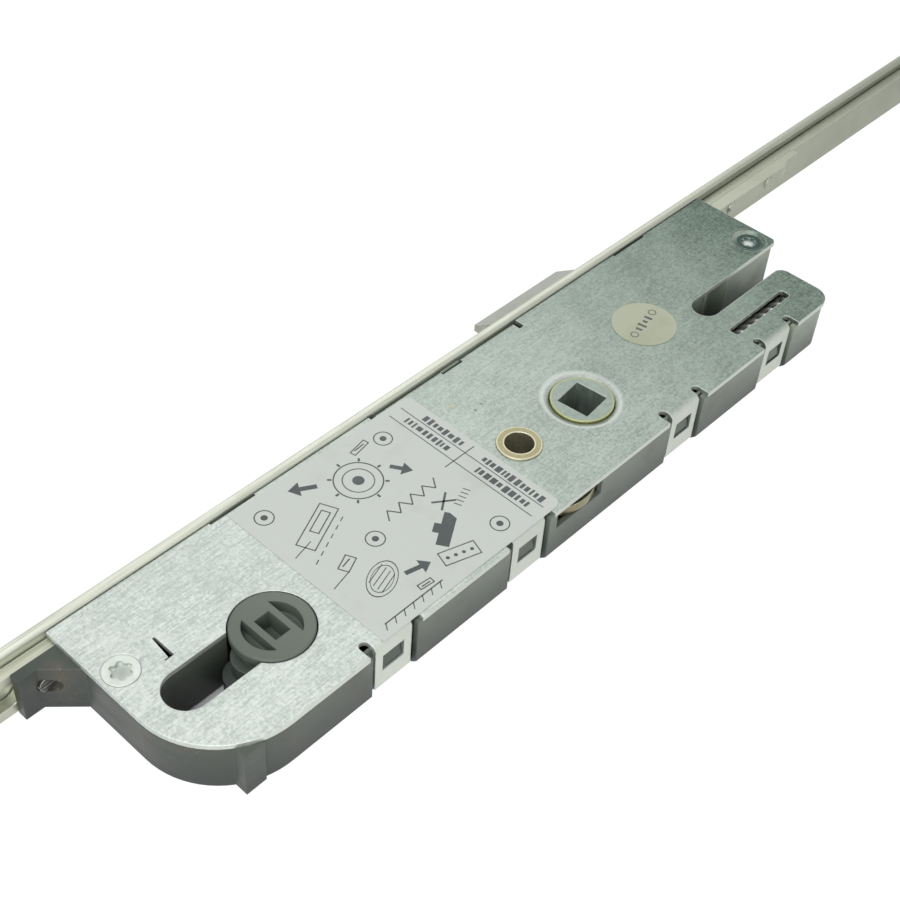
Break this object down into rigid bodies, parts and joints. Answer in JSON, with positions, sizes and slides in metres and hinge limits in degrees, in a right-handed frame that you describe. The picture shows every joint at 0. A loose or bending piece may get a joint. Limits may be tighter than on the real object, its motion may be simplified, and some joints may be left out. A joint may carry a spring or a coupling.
{
  "type": "multipoint door lock",
  "caption": "Multipoint door lock case with a bevelled latch, a dead bolt, a square spindle follower, a profile cylinder opening and drive rods behind a narrow faceplate with roller cams",
  "frame": {"origin": "on the spindle axis, halfway between the cover's top and the back of the case", "axes": "+X along the faceplate towards the upper end, +Y towards the faceplate's outer face, +Z out of the cover"},
  "size_m": [0.558, 0.0605, 0.016],
  "materials": {
    "zinc_strip": "bright zinc-plated steel strip, fine long scratches",
    "zinc_sheet": "galvanised sheet with a faint spangle",
    "case_plastic": "dark grey moulded plastic",
    "plug_plastic": "dark grey plastic, fine texture",
    "zinc_screw": "bright zinc-plated steel",
    "green_screw": "green-coated screw",
    "hub_metal": "zinc die casting",
    "yellow_zinc": "yellow-chromated zinc plating",
    "latch_metal": "ground zinc casting",
    "rod_steel": "pale zinc-plated rod",
    "spring_steel": "bare spring wire",
    "paper": "printed paper",
    "sticker": "beige paper"
  },
  "bodies": {
    "case": {"faceplate": "zinc_strip", "housing": "case_plastic", "cover_plate": "zinc_sheet", "cover_screw_lower": "zinc_screw", "cover_screw_upper": "green_screw", "handle_bush": "yellow_zinc", "foot_screw": "zinc_screw", "instruction_label": "paper", "round_sticker": "sticker", "return_spring": "spring_steel", "latch_spring": "spring_steel", "rod_guide_studs": "zinc_screw", "case_screws": "zinc_screw"},
    "drive": {"main_slide": "rod_steel", "lower_rod": "rod_steel", "upper_rod": "rod_steel", "rod_rivets": "zinc_screw", "roller_pins": "zinc_screw"},
    "spindle_follower": {"follower": "hub_metal"},
    "dead_bolt_body": {"dead_bolt": "latch_metal", "dead_bolt_pin": "spring_steel"},
    "latch": {"latch_bolt": "latch_metal", "latch_spring_guide": "spring_steel"},
    "lever": {"latch_lever": "yellow_zinc", "lever_pin": "spring_steel"},
    "plunger": {"spring_plunger": "yellow_zinc"},
    "plug": {"cylinder_plug": "plug_plastic"},
    "lower_roller": {"roller_lower": "zinc_screw"},
    "upper_roller": {"roller_upper": "zinc_screw"}
  },
  "joints": [
    {"name": "drive_slide", "type": "slide", "parent": "case", "child": "drive", "axis": [-1, 0, 0], "range_m": [0, 0.0196]},
    {"name": "follower_turn", "type": "hinge", "parent": "case", "child": "spindle_follower", "pos_m": [0, 0, 0], "axis": [0, 0, 1], "range_deg": [0, 60]},
    {"name": "dead_bolt_slide", "type": "slide", "parent": "case", "child": "dead_bolt_body", "axis": [0, 1, 0], "range_m": [0, 0.01963]},
    {"name": "plunger_slide", "type": "slide", "parent": "case", "child": "plunger", "axis": [1, 0, 0], "range_m": [0, 0.011], "deforming": ["return_spring"]},
    {"name": "latch_slide", "type": "slide", "parent": "case", "child": "latch", "axis": [0, -1, 0], "range_m": [0, 0.0105], "stiffness_N_per_m": 250, "springref_m": -0.003, "deforming": ["latch_spring"]},
    {"name": "latch_lever_turn", "type": "hinge", "parent": "case", "child": "lever", "pos_m": [-0.0203, -0.0072, 0], "axis": [0, 0, -1], "range_deg": [0, 16.87]},
    {"name": "plug_lift", "type": "slide", "parent": "case", "child": "plug", "axis": [0, 0, 1], "range_m": [0, 0.02]},
    {"name": "lower_roller_spin", "type": "hinge", "parent": "drive", "child": "lower_roller", "pos_m": [-0.22489, 0.036, 0], "axis": [0, 1, 0], "continuous": true},
    {"name": "upper_roller_spin", "type": "hinge", "parent": "drive", "child": "upper_roller", "pos_m": [0.25274, 0.036, 0], "axis": [0, 1, 0], "continuous": true}
  ],
  "couplings": [
    {"joint": "follower_turn", "follows": "drive_slide", "rad_per_m": 53.333},
    {"joint": "dead_bolt_slide", "follows": "drive_slide", "ratio": 1},
    {"joint": "plunger_slide", "follows": "drive_slide", "ratio": 0.5602},
    {"joint": "latch_lever_turn", "follows": "latch_slide", "rad_per_m": 27.877}
  ]
}
